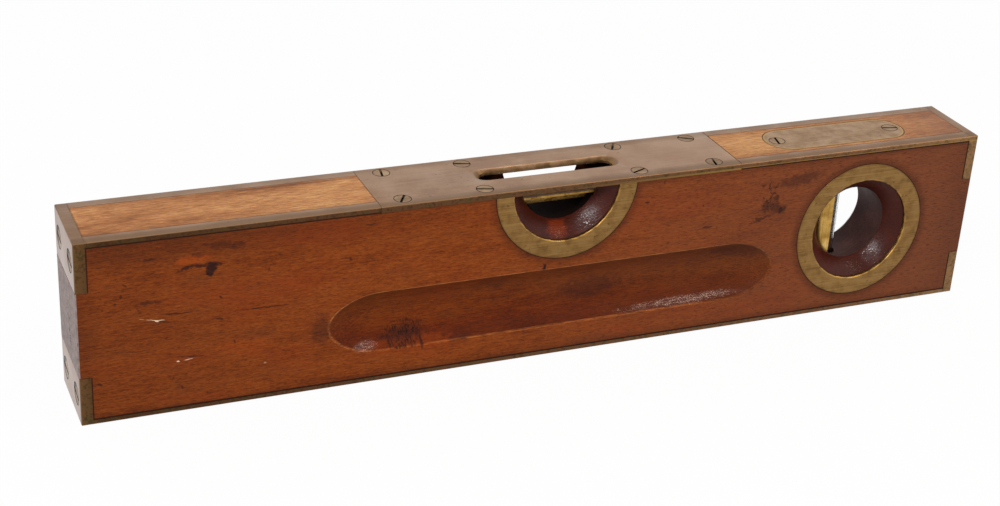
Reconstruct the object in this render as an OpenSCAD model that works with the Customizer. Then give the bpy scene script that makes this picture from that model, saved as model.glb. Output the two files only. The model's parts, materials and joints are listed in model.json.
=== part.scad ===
// Plumb and level: a brass-bound hardwood stock with a level vial hung under a
// slotted top plate and a plumb vial standing across a round sight hole.
// X runs along the stock, Y across it, Z up. The sole rests on z = 0.

/* [Stock] */
// Overall length over the end tips
stock_l = 304.8; // [280:0.1:400]
// Overall width across the side faces
stock_w = 28; // [28:0.1:36]
// Overall height from the sole to the top plate
stock_h = 59.6; // [58:0.1:72]
// Chamfer worn on every outer edge of the brass binding
edge_chamfer = 0.4; // [0.2:0.1:0.8]
// Gap of the fine joint line round each inlaid brass piece
joint_line = 0.1; // [0.02:0.01:0.2]

/* [Brass binding] */
// Width of an edge strip on the top face and on the sole
strip_w = 4; // [3:0.1:5]
// Height of an edge strip on the side face
strip_t = 1.6; // [1.2:0.1:2.5]
// Height of an end tip
tip_h = 15.9; // [12:0.1:20]
// Thickness of an end tip
tip_t = 3.5; // [2.5:0.1:5]
// Distance between the two screws of an end tip
tip_screw_gap = 16; // [12:0.1:18]

/* [Sight rings] */
// Outer radius of a sight ring
ring_r = 23.9; // [22:0.1:25]
// Radial width of a sight ring
ring_w = 6; // [4:0.1:7]
// Thickness of a sight ring
ring_t = 1.2; // [0.8:0.1:1.5]
// Radius of the throat at the bottom of the flared sight
throat_r = 13; // [11:0.1:14]
// Depth of the flare below the side face
flare_depth = 6.2; // [4:0.1:7]
// Radius of the bulge in the wall of the flare
flare_bulge_r = 16; // [12:0.5:40]

/* [Plumb sight] */
// Distance of the plumb sight's centre from the end of the stock
plumb_inset = 42.6; // [40:0.1:60]
// Distance of the plumb vial from the centre of its sight
plumb_vial_offset = 6; // [4:0.1:8]
// Outer radius of the plumb vial's brass case
plumb_case_r = 5.5; // [4.5:0.1:6]
// Half length of the window in the plumb vial's case
plumb_window_half = 15; // [13:0.1:17]
// Half length of the plumb vial
plumb_vial_half = 18.5; // [18:0.1:20]
// Outer radius of the plumb vial
plumb_vial_r = 4.8; // [4:0.1:4.8]
// Radius of the plumb vial's bore at mid length
plumb_bore_r = 3.4; // [3:0.1:3.8]
// Length of the plumb vial's bubble
plumb_bubble_l = 9; // [7:0.1:11]

/* [Plumb cover] */
// Length of the plumb cover plate
cover_l = 52.2; // [48:0.1:60]
// Width of the plumb cover plate
cover_w = 16; // [14:0.1:18]
// Distance between the two cover screws
cover_screw_gap = 43.8; // [38:0.1:44]

/* [Top plate] */
// Length of the top plate
plate_l = 122; // [112:0.1:130]
// Thickness of the top plate and the plumb cover
plate_t = 2; // [1.8:0.1:2.5]
// Distance along the stock between the outer plate screws
outer_screw_gap = 106; // [100:0.1:106]
// Distance along the stock between the inner plate screws
inner_screw_gap = 52.6; // [51:0.1:56]
// Distance across the stock between the plate screws of a pair
plate_screw_spread = 19.8; // [19:0.1:20.5]
// Length of the sight slot through the top plate
slot_l = 45.6; // [36:0.1:46]
// Width of the sight slot through the top plate
slot_w = 7; // [5:0.1:8]
// Length of the dished run-out at each end of the sight slot
slot_dish = 2.2; // [1:0.1:3]
// Width of the bevel along each side of the sight slot
slot_bevel = 0.7; // [0.3:0.1:1]
// Depth of the dished run-outs
slot_dish_h = 1.5; // [1:0.1:1.6]
// Distance of the sight slot's centre from the centre of the stock
slot_offset = -1.4; // [-2:0.1:2]

/* [Level vial] */
// Height of the level vial's axis below the top plate's upper face
level_axis_drop = 7; // [6.8:0.1:7.4]
// Outer radius of the level vial's brass case
level_case_r = 4.3; // [4:0.1:4.5]
// Wall of the level vial's brass case
level_case_wall = 0.5; // [0.4:0.1:0.8]
// Length of the case past its ears at each end
case_overhang = 1.5; // [0.5:0.1:3]
// Half width of the flange along the case
flange_half_w = 7.2; // [6:0.1:7.4]
// Thickness of the flange
flange_t = 1.2; // [0.8:0.1:1.5]
// Width of each ear that takes a pair of screws
ear_w = 6.4; // [6:0.1:7]
// Length of the plaster bed at each end of a vial
packing_l = 3; // [1.5:0.1:4]
// Clearance between a vial and its case
vial_fit = 0.1; // [0.05:0.01:0.2]
// Radius of the level vial's bore at mid length
level_bore_r = 2.6; // [2.2:0.1:2.8]
// How much narrower a vial's bore is at its ends than at its middle
bore_crown = 0.15; // [0.05:0.01:0.2]
// Length of the level vial's bubble
level_bubble_l = 15; // [10:0.1:18]
// Travel of the level vial's bubble each way
level_travel = 12; // [8:0.1:13]
// Wire thickness of the adjusting springs
spring_wire = 0.5; // [0.4:0.05:0.6]
// Turns of each adjusting spring
spring_turns = 3; // [2:0.5:3.5]

/* [Hand grooves] */
// Radius of the cutter that made the hand grooves
groove_cutter_r = 13; // [12:0.1:14]
// Depth of a hand groove
groove_depth = 5.2; // [4.6:0.1:5.6]
// Height of a hand groove's centre line above the sole
groove_z = 20.7; // [19:0.1:22]
// Radius of the arc on which the cutter was lifted out at each end of a hand groove
groove_arc_r = 32; // [24:0.5:34]
// Wood left between a hand groove and the plumb sight's ring
groove_margin = 8.5; // [7:0.1:16]

/* [Screws] */
// Head diameter of a plate screw
plate_screw_head = 5.5; // [5:0.1:5.6]
// Shank diameter of a plate screw
plate_screw_shank = 2.8; // [2.4:0.1:2.8]
// Length of a plate screw
plate_screw_l = 12; // [10:0.5:14]
// Length of the machine screws that carry the level case
case_screw_l = 9; // [8:0.1:9.5]
// Head diameter of a tip screw
tip_screw_head = 7.2; // [6:0.1:7.3]
// Shank diameter of a tip screw
tip_screw_shank = 3.5; // [3:0.1:3.6]
// Length of a tip screw
tip_screw_l = 19; // [14:0.5:22]
// Clearance round a screw in its hole
screw_fit = 0.05; // [0.02:0.01:0.08]

/* [Hidden] */
$fn = 96;

wood = "#8a4423";
brass = "#a98f57";
dull_brass = "#8f7c62";
bright_brass = "#c39a3a";
clear_glass = "#cfe3df";
spirit_tint = "#d9d9a8";
plaster = "#d8d2c4";
bubble_tint = "#f4f8f7";
steel = "#9a9a98";

half_l = stock_l / 2;
half_w = stock_w / 2;
past = 1;
plate_z = stock_h - plate_t;
half_plate = plate_l / 2;
inner_end = half_l - tip_t;
tip_low = stock_h - tip_h;

// The level vial, hung from the plate
level_z = stock_h - level_axis_drop;
level_in_r = level_case_r - level_case_wall;
level_vial_r = level_in_r - vial_fit;
flange_rise = 1.3;
flange_top = level_z + flange_rise;
flange_low = flange_top - flange_t;
ear_x = inner_screw_gap / 2;
level_case_half = ear_x + ear_w / 2 + case_overhang;
level_vial_half = level_case_half - packing_l;
ear_edge = 2.1;
ear_half_y = plate_screw_spread / 2 + ear_edge;
case_room = 0.8;
ear_room = 0.6;
ear_end_room = 0.3;
shank_room = 0.4;
level_ring_drop = 1.2;
level_ring_z = stock_h - level_ring_drop;
rocker_gap = 0.05;
rocker_bend_r = 8;
rocker_room = 1.2;
rocker_low_y = level_case_r + rocker_room;
thread_fit = 0.1;
spring_room = 0.25;
spring_seat = 0.03;

// The plumb vial, standing across its sight
plumb_x = half_l - plumb_inset;
plumb_z = stock_h / 2;
vial_x = plumb_x - plumb_vial_offset;
plumb_in_r = plumb_vial_r + vial_fit;
plumb_case_low = plumb_z - plumb_vial_half - packing_l;

// The bubbles, and the film of spirit between them and the glass
spirit_film = 0.35;
bubble_room = 0.1;
seat_fit = 0.02;
seal_t = 1.6;
level_bubble_r = level_bore_r - bore_crown - spirit_film;
level_bubble_lift = 0.2;
plumb_bubble_r = plumb_bore_r - bore_crown - spirit_film - bubble_room;

// The plumb bubble, at the top of its bore when the stock lies on its sole
plumb_bubble_top = plumb_z + plumb_vial_half - seal_t - bubble_room;
plumb_bubble_stop = plumb_z - plumb_vial_half + seal_t + 5 * bubble_room;

// Hand grooves
groove_end = plumb_x - ring_r - groove_margin;
groove_out = groove_cutter_r - groove_depth;
groove_run = groove_end - groove_arc_r * sin(acos(1 - groove_depth / groove_arc_r));

// Countersunk heads: half angle, the straight rim and the driver's slot
head_half_angle = 41;
head_rim = 0.15;
driver_half_w = 0.4;
driver_depth = 0.8;

// How far each screw's slot is turned from the stock's length
outer_slot_angles = [60, 80, 80, -30];
left_slot_angles = [-16, -16];
adjust_slot_angles = [23, 60];
cover_slot_angles = [78, -14];

// The whole level as one chamfered bar, which trims every outer piece
module bar() {
    intersection() {
        translate([-half_l, 0, 0])
            rotate([90, 0, 90])
                linear_extrude(stock_l)
                    chamfered(-half_w, 0, stock_w, stock_h);
        translate([0, half_w, 0])
            rotate([90, 0, 0])
                linear_extrude(stock_w)
                    chamfered(-half_l, 0, stock_l, stock_h);
        linear_extrude(stock_h)
            chamfered(-half_l, -half_w, stock_l, stock_w);
    }
}

// A rectangle with the same small chamfer on its four corners
module chamfered(x, y, w, h) {
    c = edge_chamfer;
    translate([x, y])
        polygon([[c, 0], [w - c, 0], [w, c], [w, h - c], [w - c, h], [c, h], [0, h - c], [0, c]]);
}

// A block between two corners
module block(low, high) {
    translate(low)
        cube(high - low);
}

// A plate outline with round ends, along x
module stadium(l, w) {
    for (side = [-1, 1])
        translate([side * (l - w) / 2, 0])
            circle(d = w);
    translate([-(l - w) / 2, -w / 2])
        square([l - w, w]);
}

// Both sides of the stock, front first
module both_sides() {
    for (turn = [0, 180])
        rotate([0, 0, turn])
            children();
}

// A countersunk slotted screw, head up, with its top at z = 0
module screw(head_d, shank_d, l, angle) {
    cone_h = (head_d - shank_d) / 2 / tan(head_half_angle);
    rim = head_rim;
    point_l = 1.5 * shank_d;
    difference() {
        rotate_extrude()
            polygon([[0, 0], [head_d / 2, 0], [head_d / 2, -rim], [shank_d / 2, -rim - cone_h],
                [shank_d / 2, point_l - l], [shank_d / 9, -l], [0, -l]]);
        rotate([0, 0, angle])
            block([-head_d, -driver_half_w, -driver_depth], [head_d, driver_half_w, past]);
    }
}

// The countersunk hole that a screw seats in
module screw_hole(head_d, shank_d, l) {
    cone_h = (head_d - shank_d) / 2 / tan(head_half_angle);
    rim = head_rim + screw_fit;
    r = shank_d / 2 + screw_fit;
    rotate_extrude()
        polygon([[0, past], [head_d / 2 + screw_fit, past], [head_d / 2 + screw_fit, -rim],
            [r, -rim - cone_h], [r, -l - screw_fit], [0, -l - screw_fit]]);
}

// The places of the plate screws, seen from above
module at_outer_screws() {
    for (i = [0:3])
        translate([(i < 2 ? -1 : 1) * outer_screw_gap / 2,
            (i % 2 == 0 ? -1 : 1) * plate_screw_spread / 2, stock_h]) {
            $i = i;
            children();
        }
}

module at_inner_screws(end) {
    for (i = [0:1])
        translate([end * ear_x, (i == 0 ? -1 : 1) * plate_screw_spread / 2, stock_h]) {
            $i = i;
            children();
        }
}

module at_cover_screws() {
    for (i = [0:1])
        translate([vial_x + (i == 0 ? -1 : 1) * cover_screw_gap / 2, 0, stock_h]) {
            $i = i;
            children();
        }
}

module at_tip_screws() {
    for (end = [-1, 1])
        for (up = [tip_h / 2, stock_h - tip_h / 2])
            for (side = [-1, 1])
                translate([end * half_l, side * tip_screw_gap / 2, up])
                    rotate([0, end * 90, 0])
                        children();
}

// Radius of a sight's bulged flare, from its mouth down to its throat, at part t of the way
function flare_point(t) =
    let (mouth_r = ring_r - ring_w,
        run = flare_depth - ring_t,
        rise = mouth_r - throat_r,
        chord = sqrt(run * run + rise * rise),
        lean = atan2(rise, run),
        spread = asin(chord / 2 / flare_bulge_r),
        reach = flare_bulge_r * cos(spread),
        mid = [(mouth_r + throat_r) / 2 + reach * cos(lean), ring_t + run / 2 + reach * sin(lean)],
        a = 180 + lean + spread - 2 * spread * t)
    mid + flare_bulge_r * [cos(a), sin(a)];

// A sight turned right through the stock: ring recesses, bulged flares and the throat
module sight(x, z) {
    steps = 8;
    recess_r = ring_r + joint_line;
    flare = [for (k = [0:steps]) flare_point(k / steps)];
    front = concat([[recess_r, -past], [recess_r, ring_t]], flare);
    back = [for (k = [len(front) - 1:-1:0]) [front[k].x, stock_w - front[k].y]];
    translate([x, -half_w, z])
        rotate([-90, 0, 0])
            rotate_extrude()
                polygon(concat([[0, -past]], front, back, [[0, stock_w + past]]));
}

// A hand groove, cut by a round-nosed cutter that is run along the stock and lifted out on an
// arc at each end. The profile is the cutter's nose as it moves, turned about a line outside
// the face
module groove_cutter() {
    r = groove_cutter_r;
    translate([0, -half_w - groove_out, groove_z])
        rotate([0, 90, 0])
            rotate_extrude()
                intersection() {
                    union() {
                        for (side = [-1, 1])
                            translate([r - groove_arc_r, side * groove_run])
                                circle(r = groove_arc_r);
                        translate([0, -groove_run])
                            square([r, 2 * groove_run]);
                    }
                    translate([0, -half_l])
                        square([r, 2 * half_l]);
                }
}

// The mortise under the top plate for the hung case and its screws
module level_mortise() {
    low = flange_low - case_room;
    reach = level_case_half + case_room;
    block([-reach, -flange_half_w - case_room, low], [reach, flange_half_w + case_room, stock_h]);
    block([-reach, -level_case_r - case_room, level_z - level_case_r - case_room],
        [reach, level_case_r + case_room, stock_h]);
    for (end = [-1, 1])
        block([end * ear_x - ear_w / 2 - ear_room, -ear_half_y - ear_end_room, low],
            [end * ear_x + ear_w / 2 + ear_room, ear_half_y + ear_end_room, stock_h]);
    for (end = [-1, 1])
        at_inner_screws(end)
            translate([0, 0, -case_screw_l - case_room])
                cylinder(r = plate_screw_shank / 2 + shank_room, h = case_screw_l);
}

// Rebates for the edge strips, the recess for the top plate and the seats for the end tips
module binding_seats() {
    in_y = half_w - strip_w - joint_line;
    out_y = half_w + past;
    for (y = [[-out_y, -in_y], [in_y, out_y]])
        for (z = [[-past, strip_t + joint_line], [stock_h - strip_t - joint_line, stock_h + past]])
            block([-half_l - past, y[0], z[0]], [half_l + past, y[1], z[1]]);
    block([-half_plate - joint_line, -half_w - past, plate_z],
        [half_plate + joint_line, half_w + past, stock_h + past]);
    for (end = [-1, 1])
        for (z = [[-past, tip_h + joint_line], [tip_low - joint_line, stock_h + past]])
            block([min(end * inner_end, end * (half_l + past)), -half_w - past, z[0]],
                [max(end * inner_end, end * (half_l + past)), half_w + past, z[1]]);
    at_tip_screws()
        screw_hole(tip_screw_head, tip_screw_shank, tip_screw_l);
    at_outer_screws()
        screw_hole(plate_screw_head, plate_screw_shank, plate_screw_l);
}

// Recess and screw holes for the plumb cover, and the bore for the plumb vial's case
module plumb_mortise() {
    translate([vial_x, 0, plate_z])
        linear_extrude(plate_t + past)
            stadium(cover_l + 2 * joint_line, cover_w + 2 * joint_line);
    at_cover_screws()
        screw_hole(plate_screw_head, plate_screw_shank, plate_screw_l);
    translate([vial_x, 0, plumb_case_low - joint_line])
        cylinder(r = plumb_case_r + joint_line, h = stock_h);
}

module stock() {
    color(wood)
        difference() {
            bar();
            binding_seats();
            sight(0, level_ring_z);
            sight(plumb_x, plumb_z);
            both_sides()
                groove_cutter();
            level_mortise();
            plumb_mortise();
        }
}

module top_plate() {
    long = slot_l + 2 * slot_dish;
    wide = slot_w + 2 * slot_bevel;
    color(dull_brass)
        difference() {
            intersection() {
                bar();
                block([-half_plate, -half_w - past, plate_z], [half_plate, half_w + past, stock_h + past]);
            }
            translate([slot_offset, 0, plate_z - past])
                linear_extrude(plate_t + 2 * past)
                    stadium(slot_l, slot_w);
            translate([slot_offset, 0, stock_h])
                hull() {
                    translate([0, 0, -slot_dish_h])
                        linear_extrude(0.01)
                            stadium(slot_l - 0.6, slot_w - 0.6, $fn = 32);
                    linear_extrude(0.1)
                        stadium(long, wide, $fn = 32);
                }
            at_outer_screws()
                screw_hole(plate_screw_head, plate_screw_shank, plate_screw_l);
            for (end = [-1, 1])
                at_inner_screws(end)
                    screw_hole(plate_screw_head, plate_screw_shank, plate_screw_l);
        }
}

module plate_screws() {
    color(dull_brass)
        at_outer_screws()
            screw(plate_screw_head, plate_screw_shank, plate_screw_l, outer_slot_angles[$i]);
}

// Left pair, which holds the case up against its rocker blocks
module case_screws() {
    color(dull_brass)
        at_inner_screws(-1)
            screw(plate_screw_head, plate_screw_shank, case_screw_l, left_slot_angles[$i]);
}

// One edge strip between two places along the stock
module strip(x0, x1, side, top) {
    z0 = top ? stock_h - strip_t : 0;
    color(dull_brass)
        intersection() {
            bar();
            block([x0, min(side * half_w, side * (half_w - strip_w)), z0],
                [x1, max(side * half_w, side * (half_w - strip_w)), z0 + strip_t]);
        }
}

module top_strip_front_left() {
    strip(-inner_end, -half_plate - joint_line, -1, true);
}

module top_strip_front_right() {
    strip(half_plate + joint_line, inner_end, -1, true);
}

module top_strip_back_left() {
    strip(-inner_end, -half_plate - joint_line, 1, true);
}

module top_strip_back_right() {
    strip(half_plate + joint_line, inner_end, 1, true);
}

module sole_strip_front() {
    strip(-inner_end, inner_end, -1, false);
}

module sole_strip_back() {
    strip(-inner_end, inner_end, 1, false);
}

// One end tip, screwed over the end grain
module tip(end, top) {
    z0 = top ? tip_low : 0;
    color(dull_brass)
        difference() {
            intersection() {
                bar();
                block([min(end * inner_end, end * half_l), -half_w, z0],
                    [max(end * inner_end, end * half_l), half_w, z0 + tip_h]);
            }
            at_tip_screws()
                screw_hole(tip_screw_head, tip_screw_shank, tip_screw_l);
        }
}

module tip_left_top() {
    tip(-1, true);
}

module tip_left_bottom() {
    tip(-1, false);
}

module tip_right_top() {
    tip(1, true);
}

module tip_right_bottom() {
    tip(1, false);
}

module tip_screws() {
    color(dull_brass)
        at_tip_screws()
            screw(tip_screw_head, tip_screw_shank, tip_screw_l, 80);
}

// A flat ring let into the front face
module ring(x, z) {
    translate([x, -half_w, z])
        rotate([-90, 0, 0])
            difference() {
                cylinder(r = ring_r, h = ring_t);
                translate([0, 0, -past])
                    cylinder(r = ring_r - ring_w, h = ring_t + 2 * past);
            }
}

// The level sight's ring ends under the top plate
module half_ring() {
    color(brass)
        difference() {
            ring(0, level_ring_z);
            block([-ring_r - past, -half_w - past, plate_z], [ring_r + past, half_w, stock_h + ring_r]);
        }
}

module level_ring_front() {
    half_ring();
}

module level_ring_back() {
    rotate([0, 0, 180])
        half_ring();
}

module plumb_ring_front() {
    color(brass)
        ring(plumb_x, plumb_z);
}

module plumb_ring_back() {
    color(brass)
        rotate([0, 0, 180])
            ring(-plumb_x, plumb_z);
}

// Round-nosed blocks under the plate that the left ears rock on
module rocker_blocks() {
    low = flange_top + rocker_gap;
    color(bright_brass)
        for (side = [-1, 1])
            difference() {
                intersection() {
                    block([-ear_x - ear_w / 2, min(side * rocker_low_y, side * ear_half_y), low - past],
                        [-ear_x + ear_w / 2, max(side * rocker_low_y, side * ear_half_y), plate_z]);
                    translate([-ear_x, -half_w, low + rocker_bend_r])
                        rotate([-90, 0, 0])
                            cylinder(r = rocker_bend_r, h = stock_w);
                }
                translate([-ear_x, side * plate_screw_spread / 2, low - past])
                    cylinder(r = plate_screw_shank / 2 + screw_fit, h = stock_h);
            }
}

// Trough with a flange along its rim, closed rings at its ends and two pairs of ears
module level_case() {
    ring_from = ear_x - ear_w / 2;
    color(bright_brass)
        difference() {
            union() {
                translate([-level_case_half, 0, level_z])
                    rotate([0, 90, 0])
                        cylinder(r = level_case_r, h = 2 * level_case_half);
                block([-level_case_half, -flange_half_w, flange_low],
                    [level_case_half, flange_half_w, flange_top]);
                for (end = [-1, 1])
                    block([end * ear_x - ear_w / 2, -ear_half_y, flange_low],
                        [end * ear_x + ear_w / 2, ear_half_y, flange_top]);
            }
            translate([-level_case_half - past, 0, level_z])
                rotate([0, 90, 0])
                    cylinder(r = level_in_r, h = 2 * (level_case_half + past));
            block([-ring_from, -half_w, flange_top], [ring_from, half_w, stock_h]);
            for (end = [-1, 1])
                at_inner_screws(end)
                    translate([0, 0, -stock_h])
                        cylinder(r = plate_screw_shank / 2 + thread_fit, h = stock_h);
        }
}

// One coil spring round an adjusting screw, from the ear up to the plate
module spring_wire_coil() {
    wire_r = spring_wire / 2;
    coil_r = plate_screw_shank / 2 + wire_r + spring_room;
    low = flange_top + wire_r + spring_seat;
    rise = plate_z - flange_top - spring_wire - 2 * spring_seat;
    sides = 6;
    rings = round(10 * spring_turns);
    slope = atan2(rise, 2 * PI * coil_r * spring_turns);
    points = [for (i = [0:rings])
        let (a = 360 * spring_turns * i / rings)
            for (j = [0:sides - 1])
                let (b = 360 * j / sides, out = coil_r + wire_r * cos(b), up = wire_r * sin(b))
                    [out * cos(a) + up * sin(slope) * sin(a),
                        out * sin(a) - up * sin(slope) * cos(a),
                        low + rise * i / rings + up * cos(slope)]];
    walls = [for (i = [0:rings - 1])
        for (j = [0:sides - 1])
            let (k = (j + 1) % sides)
                [i * sides + j, i * sides + k, (i + 1) * sides + k, (i + 1) * sides + j]];
    gap = min([for (i = [0:rings - round(rings / spring_turns)])
        norm(points[i * sides] - points[(i + round(rings / spring_turns)) * sides]) - spring_wire]);
    echo(least_spring_gap = gap);
    caps = [[for (j = [sides - 1:-1:0]) j], [for (j = [0:sides - 1]) rings * sides + j]];
    polyhedron(points, concat(walls, caps));
}

module adjusting_springs() {
    color(steel)
        at_inner_screws(1)
            translate([0, 0, -stock_h])
                spring_wire_coil();
}

module adjusting_screw_front() {
    color(dull_brass)
        translate([ear_x, -plate_screw_spread / 2, stock_h])
            screw(plate_screw_head, plate_screw_shank, case_screw_l, adjust_slot_angles[0]);
}

module adjusting_screw_back() {
    color(dull_brass)
        translate([ear_x, plate_screw_spread / 2, stock_h])
            screw(plate_screw_head, plate_screw_shank, case_screw_l, adjust_slot_angles[1]);
}

// The ground bore of a vial, barrel-shaped along z about its middle
module bore(r, half, grow) {
    inner = half - seal_t;
    steps = 6;
    rotate_extrude()
        polygon(concat([[0, -inner - grow]],
            [for (k = [-steps:steps])
                [r + grow - bore_crown * pow(k / steps, 2), (inner + grow) * k / steps]],
            [[0, inner + grow]]));
}

// A sealed glass vial along z about its middle
module vial(r, bore_r, half) {
    round_off = 0.6;
    difference() {
        rotate_extrude()
            polygon([[0, -half], [r - round_off, -half], [r, round_off - half], [r, half - round_off],
                [r - round_off, half], [0, half]]);
        bore(bore_r, half, 0);
    }
}

// A bubble or its clear room along z, with round ends
module capsule(r, l) {
    rotate_extrude()
        intersection() {
            union() {
                for (side = [-1, 1])
                    translate([0, side * (l / 2 - r)])
                        circle(r = r);
                translate([-r, r - l / 2])
                    square([2 * r, l - 2 * r]);
            }
            translate([0, -l])
                square([2 * r, 2 * l]);
        }
}

module level_glass() {
    color(clear_glass, 0.5)
        translate([0, 0, level_z])
            rotate([0, 90, 0])
                vial(level_vial_r, level_bore_r, level_vial_half);
}

// Plaster that beds both ends of the level vial in its case
module level_packing() {
    color(plaster)
        for (end = [-1, 1])
            translate([end * (level_case_half - packing_l / 2), 0, level_z])
                rotate([0, 90, 0])
                    cylinder(r = level_in_r - seat_fit, h = packing_l, center = true);
}

// The spirit fills the bore but for a clear channel along its top, where the bubble runs
module level_spirit() {
    reach = level_travel + level_bubble_l / 2 + 2 * bubble_room;
    color(spirit_tint, 0.6)
        translate([0, 0, level_z])
            difference() {
                rotate([0, 90, 0])
                    bore(level_bore_r, level_vial_half, -seat_fit);
                block([-reach, -level_bore_r - past, -level_bubble_lift - bubble_room],
                    [reach, level_bore_r + past, level_bore_r + past]);
            }
}

module level_bubble() {
    reach = level_bubble_l;
    color(bubble_tint, 0.8)
        translate([0, 0, level_z])
            intersection() {
                translate([0, 0, level_bubble_lift])
                    rotate([0, 90, 0])
                        capsule(level_bubble_r, level_bubble_l);
                block([-reach, -level_bore_r, -level_bubble_lift], [reach, level_bore_r, level_bore_r]);
            }
}

module plumb_cover() {
    color(brass)
        difference() {
            translate([vial_x, 0, plate_z])
                linear_extrude(plate_t)
                    stadium(cover_l, cover_w);
            at_cover_screws()
                screw_hole(plate_screw_head, plate_screw_shank, plate_screw_l);
        }
}

module cover_screws() {
    color(brass)
        at_cover_screws()
            screw(plate_screw_head, plate_screw_shank, plate_screw_l, cover_slot_angles[$i]);
}

// Tube hung from the cover, cut away on the side that faces up when the stock stands on end
module plumb_case() {
    cut_x = 0.4;
    color(bright_brass)
        difference() {
            translate([vial_x, 0, plumb_case_low])
                cylinder(r = plumb_case_r, h = plate_z - plumb_case_low);
            translate([vial_x, 0, plumb_case_low - past])
                cylinder(r = plumb_in_r, h = stock_h);
            block([vial_x + cut_x, -half_w, plumb_z - plumb_window_half],
                [vial_x + half_w, half_w, plumb_z + plumb_window_half]);
        }
}

module plumb_glass() {
    color(clear_glass, 0.5)
        translate([vial_x, 0, plumb_z])
            vial(plumb_vial_r, plumb_bore_r, plumb_vial_half);
}

module plumb_packing() {
    color(plaster)
        for (z = [plumb_case_low, plumb_z + plumb_vial_half])
            translate([vial_x, 0, z])
                cylinder(r = plumb_in_r - seat_fit, h = packing_l);
}

module plumb_spirit() {
    room_low = plumb_bubble_stop - bubble_room;
    room_top = plumb_bubble_top + plumb_bubble_l;
    color(spirit_tint, 0.6)
        difference() {
            translate([vial_x, 0, plumb_z])
                bore(plumb_bore_r, plumb_vial_half, -seat_fit);
            translate([vial_x, 0, (room_top + room_low) / 2])
                capsule(plumb_bubble_r + bubble_room, room_top - room_low);
        }
}

module plumb_bubble() {
    color(bubble_tint, 0.8)
        translate([vial_x, 0, plumb_bubble_top - plumb_bubble_l / 2])
            capsule(plumb_bubble_r, plumb_bubble_l);
}

stock();
top_plate();
plate_screws();
case_screws();
top_strip_front_left();
top_strip_front_right();
top_strip_back_left();
top_strip_back_right();
sole_strip_front();
sole_strip_back();
tip_left_top();
tip_left_bottom();
tip_right_top();
tip_right_bottom();
tip_screws();
level_ring_front();
level_ring_back();
plumb_ring_front();
plumb_ring_back();
rocker_blocks();
level_case();
adjusting_springs();
adjusting_screw_front();
adjusting_screw_back();
level_glass();
level_packing();
level_spirit();
level_bubble();
plumb_cover();
cover_screws();
plumb_case();
plumb_glass();
plumb_packing();
plumb_spirit();
plumb_bubble();
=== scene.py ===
# %% [markdown]
# # A plumb and level, dressed for its photograph
# The joiner's level is a bar of mahogany with its edges bound in brass. The frame that is
# loaded here is the measured model. Everything in this file is what the eye gets on top of it:
# worn wood, dulled brass, glass, light and the camera.

# %% Load the measured model
import bpy
import bmesh
import json
import numpy as np
from mathutils import Matrix, Vector


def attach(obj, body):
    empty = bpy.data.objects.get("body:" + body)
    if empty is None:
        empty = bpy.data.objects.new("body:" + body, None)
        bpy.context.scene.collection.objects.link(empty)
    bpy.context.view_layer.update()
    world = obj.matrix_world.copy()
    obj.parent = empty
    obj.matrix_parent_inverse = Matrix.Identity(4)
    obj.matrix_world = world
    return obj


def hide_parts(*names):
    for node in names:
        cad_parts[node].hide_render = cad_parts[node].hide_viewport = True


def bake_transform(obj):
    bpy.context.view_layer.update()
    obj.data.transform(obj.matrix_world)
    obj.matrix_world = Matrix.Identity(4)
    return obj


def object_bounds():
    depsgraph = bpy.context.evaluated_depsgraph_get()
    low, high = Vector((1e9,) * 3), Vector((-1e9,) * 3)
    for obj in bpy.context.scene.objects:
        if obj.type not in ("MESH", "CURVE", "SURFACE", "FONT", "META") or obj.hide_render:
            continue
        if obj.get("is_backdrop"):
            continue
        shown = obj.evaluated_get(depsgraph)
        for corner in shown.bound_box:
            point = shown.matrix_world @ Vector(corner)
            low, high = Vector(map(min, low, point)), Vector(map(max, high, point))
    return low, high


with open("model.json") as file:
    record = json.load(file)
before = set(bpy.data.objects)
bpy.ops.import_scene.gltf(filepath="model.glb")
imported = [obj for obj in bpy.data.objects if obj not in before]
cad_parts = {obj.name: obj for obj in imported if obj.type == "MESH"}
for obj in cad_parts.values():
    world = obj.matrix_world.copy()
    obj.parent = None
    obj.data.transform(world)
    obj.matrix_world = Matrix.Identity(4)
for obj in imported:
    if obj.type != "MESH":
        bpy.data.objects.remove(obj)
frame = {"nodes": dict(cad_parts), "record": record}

measured_box = [list(corner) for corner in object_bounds()]
nodes = frame["nodes"]
print("measured box, mm:", [[round(1000 * v, 1) for v in c] for c in measured_box])

# %% [markdown]
# ## Camera
# The photograph was taken from the front left, a little above the level, with a short
# telephoto lens held slightly askew. A camera can be turned by angles or by its own three
# directions. The directions are used here, because they come straight out of a fit to the
# corners of the bar and need no order of turns.

# %% Camera at the photograph's place
def unit(v):
    """A direction divided by its own length."""
    return np.array(v, float) / np.linalg.norm(v)


EYE = (-0.22977, -0.48697, 0.29361)
FOCAL_PIXELS, WIDE_PIXELS, SENSOR_MM = 1860.4, 1000, 36.0
forward = unit((0.361038, 0.821163, -0.441976))
right = unit((0.92441, -0.377626, 0.053519))
up = np.cross(right, forward)
lens = bpy.data.cameras.new("camera")
lens.sensor_width, lens.lens = SENSOR_MM, SENSOR_MM * FOCAL_PIXELS / WIDE_PIXELS
lens.clip_start, lens.clip_end = 0.01, 50
camera = bpy.data.objects.new("camera", lens)
camera.matrix_world = Matrix.Translation(EYE) @ Matrix(
    np.column_stack((right, up, -forward)).tolist()).to_4x4()
bpy.context.collection.objects.link(camera)
bpy.context.scene.camera = camera
print("focal length, mm:", round(lens.lens, 2))

# %% [markdown]
# ## Colours and nodes
# A colour picked from a picture is in sRGB, and a shader wants it linear. One function turns
# one into the other. A second one adds a node with its settings and links, so that each
# material below reads as a list of what it is made of.

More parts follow.
